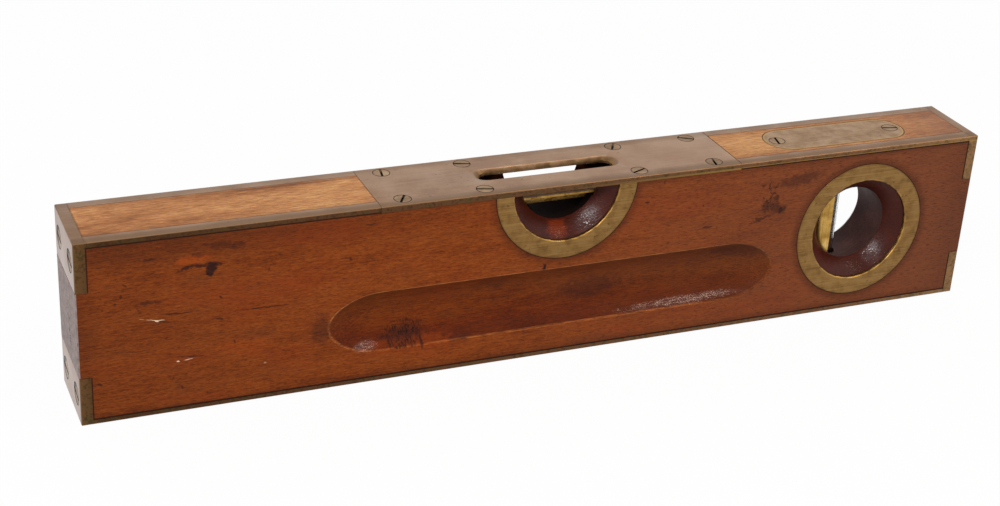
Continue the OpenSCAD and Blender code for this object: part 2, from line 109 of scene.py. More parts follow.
# %% Helpers for materials
def linear(colour):
    """An sRGB hex colour as linear light: each channel c becomes ((c + 0.055) / 1.055) ^ 2.4."""
    c = np.array([int(colour[i:i + 2], 16) for i in (1, 3, 5)]) / 255
    c = np.where(c <= 0.04045, c / 12.92, ((c + 0.055) / 1.055) ** 2.4)
    return (*c.tolist(), 1.0)


def put(tree, kind, inputs=None, out=None, stops=None, **settings):
    """Adds a node. Settings are its properties. Each input takes a value or another output."""
    made = tree.nodes.new("ShaderNode" + kind)
    for name, value in settings.items():
        setattr(made, name, value)
    for name, value in (inputs or {}).items():
        socket = made.inputs[name] if isinstance(name, int) else next(
            s for s in made.inputs if s.name == name and s.enabled)
        if isinstance(value, bpy.types.NodeSocket):
            tree.links.new(value, socket)
        else:
            socket.default_value = linear(value) if isinstance(value, str) else value
    for i, (place, colour) in enumerate(stops or []):
        ramp = made.color_ramp.elements
        stop = ramp[i] if i < 2 else ramp.new(place)
        stop.position, stop.color = place, linear(colour)
    return made.outputs[out] if out else next(s for s in made.outputs if s.enabled)


def start(name, **shader):
    """A new material with its tree, its shader, and the place on the object in millimetres."""
    material = bpy.data.materials.new(name)
    material.use_nodes = True
    tree = material.node_tree
    surface = tree.nodes["Principled BSDF"]
    for socket, value in shader.items():
        surface.inputs[socket.replace("_", " ")].default_value = (
            linear(value) if isinstance(value, str) else value)
    place = put(tree, "TexCoord", out="Object")
    mm = put(tree, "VectorMath", {0: place, "Scale": 1000.0}, operation="SCALE")
    return material, tree, surface, mm


def feed(tree, surface, **sockets):
    """Links outputs to the shader's inputs, named with an underscore for a space."""
    for socket, output in sockets.items():
        tree.links.new(output, surface.inputs[socket.replace("_", " ")])


print("mid grey #808080 is", round(linear("#808080")[0], 3), "in linear light")

# %% [markdown]
# ## The wood
# The stock is one piece of mahogany, planed, oiled and handled for a century. Its zones look
# different: reddish satin sides, a paler top bleached by light, grey end grain, sights with a
# dark glossy varnish, a hand groove polished by fingers, and pockets inside painted near black
# as shade. One
# material can do all of them if it knows the zone. A copy of the measured stock is made for
# that, with one number for each face and zone, found from where the face lies and which way it
# looks.

# %% Which face of the stock belongs to which zone
LEVEL_SIGHT, PLUMB_SIGHT = (0.0, 58.4), (109.8, 29.8)
HALF_L, HALF_W, TOP, MID_Z = 152.4, 14.0, 59.6, 29.8


def zones_of(middle, facing):
    """One 0 or 1 for each face and zone, from face middles in mm and facings.

    Bored faces lie within 18.2 mm of a sight's axis: more than 7.75 mm from the bar's middle
    plane they are the flare, and nearer the throat. Faces deep in the bar that are neither bored
    nor in the hand groove are pockets."""
    x, y, z = middle.T
    sight = np.minimum(np.hypot(x - LEVEL_SIGHT[0], z - LEVEL_SIGHT[1]),
                       np.hypot(x - PLUMB_SIGHT[0], z - PLUMB_SIGHT[1]))
    side = (np.abs(facing[:, 1]) > 0.95) & (np.abs(y) > HALF_W - 0.05)
    end = (np.abs(facing[:, 0]) > 0.7) & (np.abs(x) > 147)
    top = (facing[:, 2] > 0.9) & (z > TOP - 0.05)
    bored = (sight < 18.2) & ~side & ~top
    flare = bored & (np.abs(y) > 7.75)
    groove = (z > 7) & (z < 34) & (np.abs(y) > 8.6) & (np.abs(x) < 80) & ~side & (sight > 30)
    within = (np.abs(y) < 13.3) & (np.abs(x) < 148) & (z > 1.8) & (z < 57.9)
    pocket = within & ~bored & ~groove & ~side & ~top & ~end
    return {"top": top, "end_grain": end, "flare": flare, "throat": bored & ~flare,
            "groove": groove, "pocket": pocket}


print("sights at X and Z, mm:", LEVEL_SIGHT, PLUMB_SIGHT)

# %% [markdown]
# The measured stock stays as it is, because other tools read it. The zones are written on a
# copy that stands for it. A measured mesh is loose triangles, so the copy's are joined first,
# and then its flat faces can stay crisp while its curves are shaded smooth. The copy's side
# faces also stand 0.08 mm back, as wood that has shrunk from its brass.

# %% A copy of the stock that knows its zones
SHRUNK = 0.08


def merged_copy(node, name):
    """The node's mesh under a new name, with its loose triangles joined where they meet.

    Edges where the surface turns by more than 28 degrees stay sharp."""
    piece = bpy.data.objects.new(name, nodes[node].data.copy())
    bpy.context.collection.objects.link(piece)
    shape = bmesh.new()
    shape.from_mesh(piece.data)
    bmesh.ops.remove_doubles(shape, verts=shape.verts, dist=1e-6)
    shape.to_mesh(piece.data)
    shape.free()
    if "custom_normal" in piece.data.attributes:
        piece.data.attributes.remove(piece.data.attributes["custom_normal"])
    piece.data.shade_smooth()
    piece.data.set_sharp_from_angle(angle=np.radians(28))
    return piece


def read(mesh, items, field, width):
    """One field of a mesh's vertices or faces as a numpy table."""
    flat = np.empty(len(items) * width, np.float32)
    items.foreach_get(field, flat)
    return flat.reshape(-1, width)


stock = merged_copy("stock", "stock_wood")
mesh = stock.data
zones = zones_of(1000 * read(mesh, mesh.polygons, "center", 3),
                 read(mesh, mesh.polygons, "normal", 3))
for zone, faces in zones.items():
    mesh.attributes.new(zone, "FLOAT", "FACE").data.foreach_set("value", faces.astype(np.float32))
spots = read(mesh, mesh.vertices, "co", 3)
outer = np.abs(spots[:, 1]) > (HALF_W - 0.02) / 1000
spots[outer, 1] = np.sign(spots[outer, 1]) * ((HALF_W - SHRUNK) / 1000)
mesh.vertices.foreach_set("co", spots.ravel())
mesh.update()
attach(stock, "level")
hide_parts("stock")
print("faces in each zone:", {zone: int(faces.sum()) for zone, faces in zones.items()})

# %% [markdown]
# Mahogany grain runs along the bar. Noises stretched along X draw it: a broad one for the
# figure, a middle one for cloudy stains, a fine one for the fibres and a sharp one for the open
# pores, which are dark dashes 2 to 4 mm long. Noise is used rather than a wave, because
# quarter-sawn mahogany shows no rings. On the real tool the pores are about 0.1 mm wide, and
# here they are drawn 0.3 mm wide, so that they show in the render.

# %% Grain along the bar
GRAINS = {"fibres": (0.22, 2.4), "clouds": (0.05, 0.2), "figure": (0.018, 0.07),
          "pores": (0.45, 3.6), "flecks": (0.9, 2.6)}


def grain(t, mm, along, across):
    """Noise stretched along the bar: one feature is 1/along by 1/across millimetres."""
    stretched = put(t, "VectorMath", {0: mm, 1: (along, across, across)}, operation="MULTIPLY")
    return put(t, "TexNoise", {"Vector": stretched, "Scale": 1.0, "Detail": 3.0,
                               "Roughness": 0.6})


print("one feature, mm:", {name: (round(1 / along, 1), round(1 / across, 1))
                           for name, (along, across) in GRAINS.items()})

# %% [markdown]
# Stains on wood are soft ellipses with ragged rims. Each could be a painted picture, but a
# formula stays sharp at any size. The place is pushed about by a noise, two dot products measure
# it along the ellipse's own axes in half lengths, so that the ellipse is a circle of radius 1,
# and the length of the two becomes a soft step. No Mapping node is used: the renderer puts off
# every node that waits for one kind of vector to become another, and would then hold all the
# stains at once, more numbers than a shader has room for.

# %% Stains, masks and paints
def blotch(t, place, rough, middle, reach, turn=0.0, edge=0.5, ragged=1.0, strength=1.0):
    """A stain in the X-Z plane: strength inside a turned ellipse, with a soft rim.

    The rim runs from 1 - edge to 1 + edge half lengths, and ragged times the rough vector
    pushes it about."""
    push = (reach[0] * ragged, 0.0, reach[1] * ragged)
    pushed = put(t, "VectorMath", {0: rough, 1: push, 2: place}, operation="MULTIPLY_ADD")
    arm = put(t, "VectorMath", {0: pushed, 1: (middle[0], 0.0, middle[1])}, operation="SUBTRACT")
    c, s = np.cos(np.radians(turn)), np.sin(np.radians(turn))
    along, across = (put(t, "VectorMath", {0: arm, 1: axis}, operation="DOT_PRODUCT", out="Value")
                     for axis in ((c / reach[0], 0.0, s / reach[0]),
                                  (-s / reach[1], 0.0, c / reach[1])))
    own = put(t, "CombineXYZ", {"X": along, "Z": across})
    far = put(t, "VectorMath", {0: own}, operation="LENGTH", out="Value")
    return put(t, "MapRange", {"Value": far, "From Min": 1.0 + edge, "From Max": 1.0 - edge,
                               "To Max": strength}, interpolation_type="SMOOTHSTEP")


def together(t, masks, way="MAXIMUM"):
    """Folds masks into one with a two-input operation, the larger of each pair by default."""
    joined = masks[0]
    for mask in masks[1:]:
        joined = put(t, "Math", {0: joined, 1: mask}, operation=way)
    return joined


def laid(t, colour, layers):
    """Lays paints over a colour in order, each where its mask is 1."""
    for mask, paint in layers:
        colour = put(t, "Mix", {"Factor": mask, "A": colour, "B": paint}, data_type="RGBA")
    return colour


def from_sights(t, x, z):
    """How far a place lies from the nearer sight's axis."""
    flat = put(t, "CombineXYZ", {"X": x, "Z": z})
    return together(t, [put(t, "VectorMath", {0: flat, 1: (place[0], 0.0, place[1])},
                            operation="DISTANCE", out="Value")
                        for place in (LEVEL_SIGHT, PLUMB_SIGHT)], "MINIMUM")


print("made blotch, together, laid and from_sights")

# %% [markdown]
# Everything that the wood's colours need is made once: the place in millimetres, the zones, the
# noises, and two tones that mix them. The calm tone is for the oiled sides, the lively one for
# the bare top, where light has brought the grain out.

# %% Mahogany: places, zones and noises
wood, t, shader, mm = start("oiled_mahogany", IOR=1.5, Specular_IOR_Level=0.08,
                            Coat_Roughness=0.06)
split = put(t, "SeparateXYZ", {"Vector": mm}).node.outputs
x, y, z = split["X"], split["Y"], split["Z"]
end_way = put(t, "Math", {0: x}, operation="ABSOLUTE")
side_way = put(t, "Math", {0: y}, operation="ABSOLUTE")
zone = {name: put(t, "Attribute", out="Fac", attribute_name=name) for name in zones}
sight = from_sights(t, x, z)
fibres, clouds, figure, pores, flecks = (grain(t, mm, *size) for size in GRAINS.values())
rough = put(t, "SeparateColor", {0: put(t, "TexNoise", {
    "Vector": mm, "Scale": 0.6, "Detail": 5.0}, out="Color")}).node.outputs
rough = put(t, "CombineXYZ", {"X": rough["Red"], "Z": rough["Blue"]})
rough = put(t, "VectorMath", {0: rough, 1: (0.5, 0.0, 0.5)}, operation="SUBTRACT")
CALM_SHARES, LIVELY_SHARES = (0.14, 0.17, 0.2, 0.16), (0.25, 0.2, 0.4, 0.1)
tones = []
for shares in (CALM_SHARES, LIVELY_SHARES):
    tone = 0.5 - 0.5 * sum(shares)
    for noise, share in zip((figure, clouds, fibres, flecks), shares):
        tone = put(t, "Math", {0: noise, 1: share, 2: tone}, operation="MULTIPLY_ADD")
    tones.append(tone)
calm_tone, lively_tone = tones
print("shares of figure, clouds, fibres and flecks:", CALM_SHARES, LIVELY_SHARES)

# %% [markdown]
# The sides were oiled red and have gone brown where dirt sits: under the brass at the top edge,
# along the sole, at both ends and round the rings. The right end has had less oil and is
# greyer. Each kind of dirt is a mask made from the place, so it stays where the brass is.

# %% Colour of the sides
colour = put(t, "ValToRGB", {"Fac": calm_tone}, stops=[
    (0.38, "#4a1f08"), (0.45, "#6c2f0b"), (0.50, "#803c10"), (0.55, "#8e4718"),
    (0.62, "#9e5828")])
stained = put(t, "MapRange", {"Value": clouds, "From Min": 0.54, "From Max": 0.72,
                              "To Max": 0.4})
greyer = put(t, "MapRange", {"Value": x, "From Min": -30.0, "From Max": 150.0,
                             "To Max": 0.72})
# measured along, where dirt begins, where it is full, how strong it is there
DIRT_EDGES = ((z, 55.0, 58.2, 0.5), (z, 5.0, 1.6, 0.4), (x, -139.0, -152.0, 0.4),
              (x, 136.0, 152.0, 0.3), (sight, 27.5, 23.9, 0.55))
edges = []
for way, begin, full, share in DIRT_EDGES:
    edges.append(put(t, "MapRange", {"Value": way, "From Min": begin, "From Max": full,
                                     "To Max": share}, interpolation_type="SMOOTHSTEP"))
edges.append(put(t, "MapRange", {"Value": x, "From Min": -60.0, "From Max": -120.0,
                                 "To Max": 0.17}))
high = put(t, "MapRange", {"Value": z, "From Min": 44.0, "From Max": 57.0, "To Max": 0.6},
           interpolation_type="SMOOTHSTEP")
leftward = put(t, "MapRange", {"Value": x, "From Min": 0.0, "From Max": -120.0})
edges.append(together(t, [high, leftward], "MULTIPLY"))
grimy = together(t, [together(t, edges), put(t, "MapRange", {
    "Value": clouds, "From Min": 0.35, "From Max": 0.6, "To Min": 0.7, "To Max": 1.1})], "MULTIPLY")
redder = put(t, "MapRange", {"Value": figure, "From Min": 0.5, "From Max": 0.66,
                             "To Max": 0.45})
colour = laid(t, colour, [(redder, "#7c2c0c"), (stained, "#4a1e10"), (greyer, "#6b402c"),
                          (grimy, "#35160a")])
print("places where dirt sits:", len(edges))

# %% [markdown]
# The hand groove is darker towards its lower lip, where fingers rub in sweat, and its rim is
# worn to a pale line. A tint that runs up the groove multiplies the wood's own colour, so the
# grain still shows through it, and the worn line is a paint broken by the fibres.

# %% The groove and its worn lip
wavy_z = put(t, "Math", {0: clouds, 1: 8.0, 2: z}, operation="MULTIPLY_ADD")
band = put(t, "MapRange", {"Value": wavy_z, "From Min": 12.0, "From Max": 38.0})
groove_tint = put(t, "ValToRGB", {"Fac": band}, stops=[
    (0.0, "#a88a78"), (0.25, "#c4a88c"), (0.5, "#e4dcc0"), (0.75, "#d8d2c8"), (1.0, "#cacecf")])
tinted = put(t, "Mix", {"Factor": 1.0, "A": colour, "B": groove_tint}, data_type="RGBA",
             blend_type="MULTIPLY")
by_lip = put(t, "MapRange", {"Value": side_way, "From Min": 13.3, "From Max": 13.6})
under_lip = put(t, "MapRange", {"Value": z, "From Min": 22.0, "From Max": 27.0})
lip_paint = put(t, "Mix", {"Factor": under_lip, "A": "#a8602e", "B": "#e09a60"},
                data_type="RGBA")
worn_lip = together(t, [by_lip, zone["groove"], put(t, "MapRange", {
    "Value": fibres, "From Min": 0.42, "From Max": 0.56, "To Min": 0.25, "To Max": 0.75}),
    put(t, "MapRange", {"Value": x, "From Min": 52.0, "From Max": 66.0, "To Min": 1.0,
                        "To Max": 0.3})], "MULTIPLY")
colour = laid(t, colour, [(zone["groove"], tinted), (worn_lip, lip_paint)])
print("wood nodes so far:", len(t.nodes))

# %% [markdown]
# The marks tell this tool from any other of its make: two old bruises, small pits, a hairline
# crack, stains and gouges in the groove, and chips that show bare wood. Painted among them are a
# shadow line above a chip and a pool of light low in the level sight's flare. Each mark on the
# front
# face is an ellipse with its middle and half lengths in millimetres, its turn in degrees and its
# strength. Dark, soft, pale and warm marks have a table each, because noise breaks some rims
# more than others.

# %% Places of the marks
DARK_AND_SHADE_MARKS = [((-112.9, 47.7), (3.0, 0.8), -2, 0.9), ((-112.9, 46.4), (1.9, 1.1), -2, 0.9),
        ((-113.4, 44.9), (1.1, 0.8), -56, 0.9), ((-120.3, 47.6), (2.4, 0.5), 18, 0.8),
        ((-116.6, 47.8), (2.2, 0.6), -14, 0.8), ((-108.0, 53.3), (6.4, 1.2), -6, 0.4),
        ((-116.9, 51.4), (1.8, 0.8), 4, 0.4), ((-131.0, 51.7), (1.8, 0.5), 4, 0.45),
        ((-131.4, 37.9), (3.6, 0.7), 2, 0.45), ((-96.2, 31.3), (6.9, 0.2), -1, 0.75),
        ((-123.8, 33.3), (4.6, 0.22), -3, 0.75), ((-110.7, 29.5), (1.8, 0.3), -12, 0.6),
        # (-119.6, 18.3) is painted shade: the shadow line above the chips at (-123.3, 17.2) and
        # (-120.5, 17.4)
        ((-119.6, 18.3), (3.8, 0.3), -6, 0.6), ((-137.2, 22.6), (5.7, 0.16), -6, 0.5),
        ((-134.8, 36.0), (1.7, 0.4), -49, 0.3), ((-128.0, 31.2), (2.6, 0.3), -13, 0.5),
        ((73.2, 46.6), (5.6, 0.7), 93, 0.7), ((77.9, 41.1), (1.2, 1.0), 0, 0.7),
        ((70.3, 38.6), (3.8, 0.5), 18, 0.6), ((75.4, 45.8), (1.1, 0.9), 0, 0.6),
        ((50.9, 38.3), (1.7, 0.3), 0, 0.6), ((-64.1, 54.3), (1.7, 0.3), -2, 0.6),
        ((-6.3, 31.8), (1.2, 0.5), 90, 0.9), ((-46.4, 11.2), (0.5, 1.7), 0, 0.7)]
SOFT = [((75.6, 42.4), (3.4, 2.0), -28, 0.6), ((84.0, 51.3), (8.2, 2.0), 10, 0.5),
        ((72.0, 43.0), (1.6, 2.6), 0, 0.5), ((64.0, 27.0), (9.0, 2.6), -6, 0.4),
        ((-79.5, 21.0), (3.0, 5.0), 0, 0.45), ((-20.0, 25.5), (1.8, 1.4), 0, 0.4),
        ((-22.0, 27.5), (6.0, 3.0), 0, 0.2), ((12.0, 20.0), (11.0, 3.4), 5, 0.45),
        ((-34.0, 11.0), (3.4, 1.0), 0, 0.4), ((-52.0, 13.6), (6.4, 3.0), 8, 0.5)]
PITS = [(-144.9, 37.4), (-141.3, 38.8), (-139.6, 41.0), (-138.2, 44.4), (-132.0, 24.4),
        (-126.6, 25.6), (-106.3, 21.3), (-110.1, 36.8), (-91.1, 15.7), (-124.8, 11.8),
        (-122.2, 8.2), (-146.5, 13.2), (-82.4, 52.5), (-95.7, 43.8), (-70.3, 43.7),
        (-42.0, 31.9), (135.1, 11.7), (33.8, 56.5), (48.7, 46.4), (28.2, 50.0)]
PALE = [((-129.7, 32.0), (1.9, 0.15), -13, 0.8), ((-129.3, 31.7), (0.7, 0.24), -26, 1.0),
        ((-133.6, 32.8), (0.8, 0.1), -8, 0.3), ((-123.3, 17.2), (0.55, 0.2), -9, 0.9),
        ((-120.5, 17.4), (1.1, 0.15), 6, 0.7), ((-96.7, 12.3), (0.4, 0.3), 0, 0.25)]
WARM_AND_LIT_MARKS = [((-118.5, 50.1), (4.8, 1.3), 2, 0.5), ((-103.0, 19.3), (8.0, 2.6), -4, 0.2),
        # (-1.5, 43.6) is a painted pool of light low in the level sight's flare
        ((-1.5, 43.6), (3.2, 2.6), 4, 0.7), ((-50.0, 11.4), (14.0, 1.6), 0, 0.3)]
DARK_AND_SHADE_MARKS += [(pit, (0.4 + 0.12 * (i % 4), 0.25 + 0.06 * (i % 3)), 47 * i % 180,
          0.4 + 0.1 * (i % 4)) for i, pit in enumerate(PITS)]
print("marks:", {"dark": len(DARK_AND_SHADE_MARKS), "soft": len(SOFT), "pale": len(PALE), "warm": len(WARM_AND_LIT_MARKS)})

# %% Marks laid over the front
fronts = put(t, "MapRange", {"Value": y, "From Min": -8.0, "From Max": -8.6})


def marks(t, place, rough, table, ragged):
    """The strongest of many stains. A shader holds few numbers at once, so each stain is
    folded in as soon as it is made."""
    joined = 0.0
    for middle, reach, turn, strength in table:
        stain = blotch(t, place, rough, middle, reach, turn, 0.45, ragged, strength)
        joined = put(t, "Math", {0: joined, 1: stain}, operation="MAXIMUM")
    return joined


warm_stains_and_lit_patch, dark_marks_and_shade, soft_marks, pale_marks = (
    together(t, [marks(t, mm, rough, table, ragged), fronts], "MULTIPLY")
    for table, ragged in ((WARM_AND_LIT_MARKS, 1.4), (DARK_AND_SHADE_MARKS, 2.6), (SOFT, 1.6), (PALE, 3.0)))
gouged = put(t, "MapRange", {"Value": grain(t, mm, 2.2, 0.8), "From Min": 0.5,
                             "From Max": 0.57, "To Max": 0.9})
gouged = together(t, [gouged, blotch(t, mm, rough, (-52.0, 14.0), (6.4, 3.8), 12)], "MULTIPLY")
open_pores = put(t, "MapRange", {"Value": pores, "From Min": 0.54, "From Max": 0.63,
                                 "To Max": 0.5})
# the warm layer holds a painted pool of light, the dark one a painted shadow line
colour = laid(t, colour, [(warm_stains_and_lit_patch, "#a0440e"), (open_pores, "#2c1208"),
                          (soft_marks, "#2a1512"), (dark_marks_and_shade, "#1d0e0e"),
                          (gouged, "#1f0c05"), (pale_marks, "#e2c3a2")])
print("wood nodes so far:", len(t.nodes))

# %% [markdown]
# The top has no oil left and light has bleached it, so its pores stand out as dark streaks,
# and dirt lies along the brass. Stains there are placed in plan, with Y in the place of Z, so
# that one formula serves for both faces.

# %% The bleached top
plan = put(t, "CombineXYZ", {"X": x, "Z": y})
bleached = put(t, "ValToRGB", {"Fac": lively_tone}, stops=[
    (0.38, "#80502e"), (0.45, "#a86c3e"), (0.50, "#be8150"), (0.55, "#cd915b"),
    (0.62, "#dcaa70")])
streaks = put(t, "MapRange", {"Value": grain(t, mm, 0.2, 2.6), "From Min": 0.53,
                              "From Max": 0.62, "To Max": 0.5})
by_brass = put(t, "MapRange", {"Value": side_way, "From Min": 7.5, "From Max": 10.0,
                               "To Max": 0.3})
yellowed = blotch(t, plan, rough, (74.0, 0.0), (15.0, 8.0), edge=0.7, strength=0.45)
far_end = put(t, "MapRange", {"Value": x, "From Min": 118.0, "From Max": 146.0,
                              "To Max": 0.5})
old_stain = blotch(t, plan, rough, (-86.0, 8.6), (22.0, 0.7), edge=0.6, strength=0.55)
bleached = laid(t, bleached, [(yellowed, "#dcaa6e"), (streaks, "#5f3318"), (open_pores, "#8a5630"),
                              (by_brass, "#7a4a2a"), (far_end, "#7c5546"),
                              (old_stain, "#4c2a22")])
print("wood nodes so far:", len(t.nodes))

# %% [markdown]
# The ends show grey end grain with a drying crack down the middle. The flares of the sights have
# a coat of dark red varnish, with a pool of light painted low in the level sight's flare. The
# throats have a thinner varnish that has gone grey, painted near black as shade above 40 mm, and
# the pockets inside are painted near black as shade. Each is a ramp or a plain colour laid where
# its zone is 1.

# %% Ends, sights and pockets
cut_grain = put(t, "ValToRGB", {"Fac": put(t, "TexNoise", {
    "Vector": mm, "Scale": 0.5, "Detail": 5.0, "Roughness": 0.7})}, stops=[
    (0.3, "#6a5853"), (0.5, "#867570"), (0.7, "#9c8b86")])
crack = blotch(t, put(t, "CombineXYZ", {"X": y, "Z": z}), rough, (-2.0, 27.0), (8.0, 0.28), 86)
cut_grain = laid(t, cut_grain, [(crack, "#241a16")])
varnish = put(t, "ValToRGB", {"Fac": calm_tone}, stops=[
    (0.40, "#2c0f08"), (0.50, "#3e140a"), (0.60, "#521d10")])
# in the flares the warm layer is only the painted pool of light in the level sight
varnish = laid(t, varnish, [(warm_stains_and_lit_patch, "#762804")])
bore_paint = put(t, "ValToRGB", {"Fac": calm_tone}, stops=[
    (0.42, "#2a1616"), (0.50, "#40241f"), (0.58, "#5a3a35")])
# painted shade: above 40 mm the bores are painted near black
shaded = put(t, "Math", {0: z, 1: 40.0}, operation="GREATER_THAN")
bore_paint = laid(t, bore_paint, [(together(t, [shaded, 0.93], "MULTIPLY"), "#0e0907")])
# the pockets' near black is painted shade, not the wood's own colour
colour = laid(t, colour, [(zone["top"], bleached), (zone["end_grain"], cut_grain),
                          (zone["flare"], varnish), (zone["throat"], bore_paint),
                          (zone["pocket"], "#140b08")])
print("zones painted:", len(zone))

# %% [markdown]
# Between wood and brass lies a fine dark line of old dirt, 0.1 mm wide on the tool and drawn
# 0.3 to 0.5 mm wide here, so that it shows. It follows the strips, the plate, the tips, the rings
# and the round-ended cover. A line is where a distance equals a length, give or take a little,
# which needs no drawn curve.

# %% Dirt lines along the brass
COVER_X, COVER_RUN = 103.8, 18.1


def off(t, value, middle):
    """How far a value lies from a middle, on either side."""
    return put(t, "Math", {0: put(t, "Math", {0: value, 1: middle}, operation="SUBTRACT")},
               operation="ABSOLUTE")


def from_cover(t, x, y):
    """How far a place on the top lies from the straight middle line of the round-ended cover."""
    past = put(t, "Math", {0: off(t, x, COVER_X), 1: COVER_RUN}, operation="SUBTRACT")
    return put(t, "VectorMath", {0: put(t, "CombineXYZ", {"X": together(t, [past, 0.0]), "Y": y})},
               operation="LENGTH", out="Value")


mid_way = off(t, z, MID_Z)
at_strip, at_plate, at_tip, at_cover, at_edge, at_ring = (
    put(t, "Math", {0: way, 1: line, 2: half}, operation="COMPARE") for way, line, half in (
        (side_way, 9.85, 0.15), (end_way, 61.15, 0.15), (end_way, 148.7, 0.2),
        (from_cover(t, x, y), 8.15, 0.2), (mid_way, 27.95, 0.24), (sight, 24.0, 0.13)))
faint = together(t, [together(t, [at_strip, at_plate, at_tip]), 0.45], "MULTIPLY")
top_dirt = together(t, [together(t, [faint, at_cover]), zone["top"]], "MULTIPLY")
tip_high = put(t, "Math", {0: mid_way, 1: 13.9}, operation="GREATER_THAN")
by_tip = together(t, [at_tip, tip_high], "MULTIPLY")
on_side = put(t, "Math", {0: side_way, 1: 13.8}, operation="GREATER_THAN")
side_dirt = together(t, [together(t, [by_tip, at_edge, at_ring]), on_side], "MULTIPLY")
dirt_line = together(t, [together(t, [top_dirt, side_dirt]), 0.8], "MULTIPLY")
colour = laid(t, colour, [(dirt_line, "#1a0d06")])
print("wood nodes so far:", len(t.nodes))

# %% [markdown]
# Oil leaves a satin sheen, a little rougher where the fibres are coarse. The varnished flares
# still shine, and fingers have polished a few spots by the groove and the sights. Raw wood in
# the pockets and high in the bores has no sheen. Pores are sunk, and the varnish and the hand
# groove ripple like orange peel, which breaks their highlights up. A bump is enough for both,
# since they are less than 0.1 mm deep.

# %% Gloss and relief of the wood
POLISHED = [((-64.7, 12.2), (3.6, 1.2), 0, 0.8), ((46.0, 11.9), (20.0, 1.0), 1, 0.7),
            ((118.6, 18.2), (3.4, 3.0), 40, 0.6), ((8.6, 45.0), (4.4, 3.0), 40, 0.6)]
polish = together(t, [marks(t, mm, rough, POLISHED, 1.0), fronts, put(t, "MapRange", {
    "Value": fibres, "From Min": 0.4, "From Max": 0.52, "To Min": 0.15})], "MULTIPLY")
gloss = put(t, "Math", {0: zone["flare"], 1: 0.13, 2: polish}, operation="MULTIPLY_ADD")
satin = put(t, "MapRange", {"Value": fibres, "From Min": 0.3, "From Max": 0.7, "To Min": 0.38,
                            "To Max": 0.55})
high_bore = together(t, [shaded, zone["throat"]], "MULTIPLY")
satin = together(t, [satin, high_bore, zone["pocket"]])
peel = put(t, "TexNoise", {"Vector": mm, "Scale": 1.6, "Detail": 1.0})
peel = together(t, [peel, together(t, [zone["flare"], zone["groove"]])], "MULTIPLY")
height = put(t, "Math", {0: pores, 1: -0.5, 2: fibres}, operation="MULTIPLY_ADD")
height = put(t, "Math", {0: peel, 1: 0.9, 2: height}, operation="MULTIPLY_ADD")
relief = put(t, "Bump", {"Height": height, "Distance": 0.00008, "Strength": 1.0})
feed(t, shader, Base_Color=colour, Roughness=satin, Coat_Weight=gloss, Normal=relief,
     Coat_Normal=relief)
stock.data.materials.clear()
stock.data.materials.append(wood)
print("wood nodes:", len(t.nodes))

# %% [markdown]
# ## The brass
# All the binding is cast or rolled brass that has dulled in the air to a brown grey. Where hands
# rub it, and on the rings that were filed flush with the wood, it is still yellow. Each kind is
# a metal with its colour mottled by noise, a roughness that varies, and fine scratches. The
# scratches run along the bar, because the maker drew the file that way.

# %% Brass of one kind
SCRATCHES = (0.05, 3.4)


def aged_brass(name, tones, roughness, scratch=0.5, mottle=0.12, streak=0.3):
    """Metal whose colour runs through three tones, dark to bright, by noise in millimetres.

    mottle is the fineness of the patches and streak the share of the scratches in the tone.
    Faces marked with the attribute dirt are nearly black."""
    material, t, shader, mm = start(name, Metallic=1.0)
    patches = put(t, "TexNoise", {"Vector": mm, "Scale": mottle, "Detail": 5.0,
                                  "Roughness": 0.6})
    lines = grain(t, mm, *SCRATCHES)
    tone = put(t, "Math", {0: patches, 1: 1.0 - streak, 2: put(t, "Math", {
        0: lines, 1: streak}, operation="MULTIPLY")}, operation="MULTIPLY_ADD")
    colour = put(t, "ValToRGB", {"Fac": tone}, stops=[
        (0.38, tones[0]), (0.5, tones[1]), (0.62, tones[2])])
    specks = put(t, "TexNoise", {"Vector": mm, "Scale": 0.9, "Detail": 2.0})
    specks = put(t, "MapRange", {"Value": specks, "From Min": 0.68, "From Max": 0.76,
                                 "To Max": 0.6})
    dirt = put(t, "Attribute", out="Fac", attribute_name="dirt")
    colour = laid(t, colour, [(specks, "#33281b"), (dirt, "#241a10")])
    dull = put(t, "MapRange", {"Value": tone, "From Min": 0.4, "From Max": 0.6,
                               "To Min": roughness + 0.08, "To Max": roughness - 0.06})
    relief = put(t, "Bump", {"Height": lines, "Distance": 0.00003, "Strength": scratch})
    feed(t, shader, Base_Color=colour, Roughness=dull, Normal=relief)
    return material


print("scratches, mm long and apart:", [round(1 / size, 1) for size in SCRATCHES])

# %% Every kind of brass
def dress(kinds):
    """Gives every measured piece the material that stands under its slot's name."""
    for row in frame["record"]["subparts"]:
        if row["material_slot"] in kinds:
            nodes[row["node"]].data.materials[0] = kinds[row["material_slot"]]


BRASS = {
    "binding_brass": aged_brass("dulled_rolled_brass", ("#90705a", "#997a60", "#a28268"), 0.42,
                                0.4, 0.08),
    "screw_brass": aged_brass("dulled_turned_brass", ("#7c6146", "#977858", "#ac8d6a"), 0.4),
    "ring_brass": aged_brass("filed_ring_brass", ("#6e522d", "#866439", "#977444"), 0.38, 0.7,
                             0.3, 0.45),
    "cover_brass": aged_brass("rubbed_cover_brass", ("#8a6c4c", "#9b7a58", "#a68766"), 0.42,
                              0.6, 0.2),
    "case_brass": aged_brass("bright_drawn_tube_brass", ("#a07a3c", "#c09850", "#dab46e"), 0.34,
                             0.3, 0.15, 0.1),
}
dress(BRASS)
print("brass kinds:", sorted(BRASS))

# %% [markdown]
# One kind of brass looks different where it lies, because hands and dirt reach some places and
# not others. The base colour of a finished material can be painted over: its last link is taken,
# layers are laid on it, and the result goes back to the same socket.

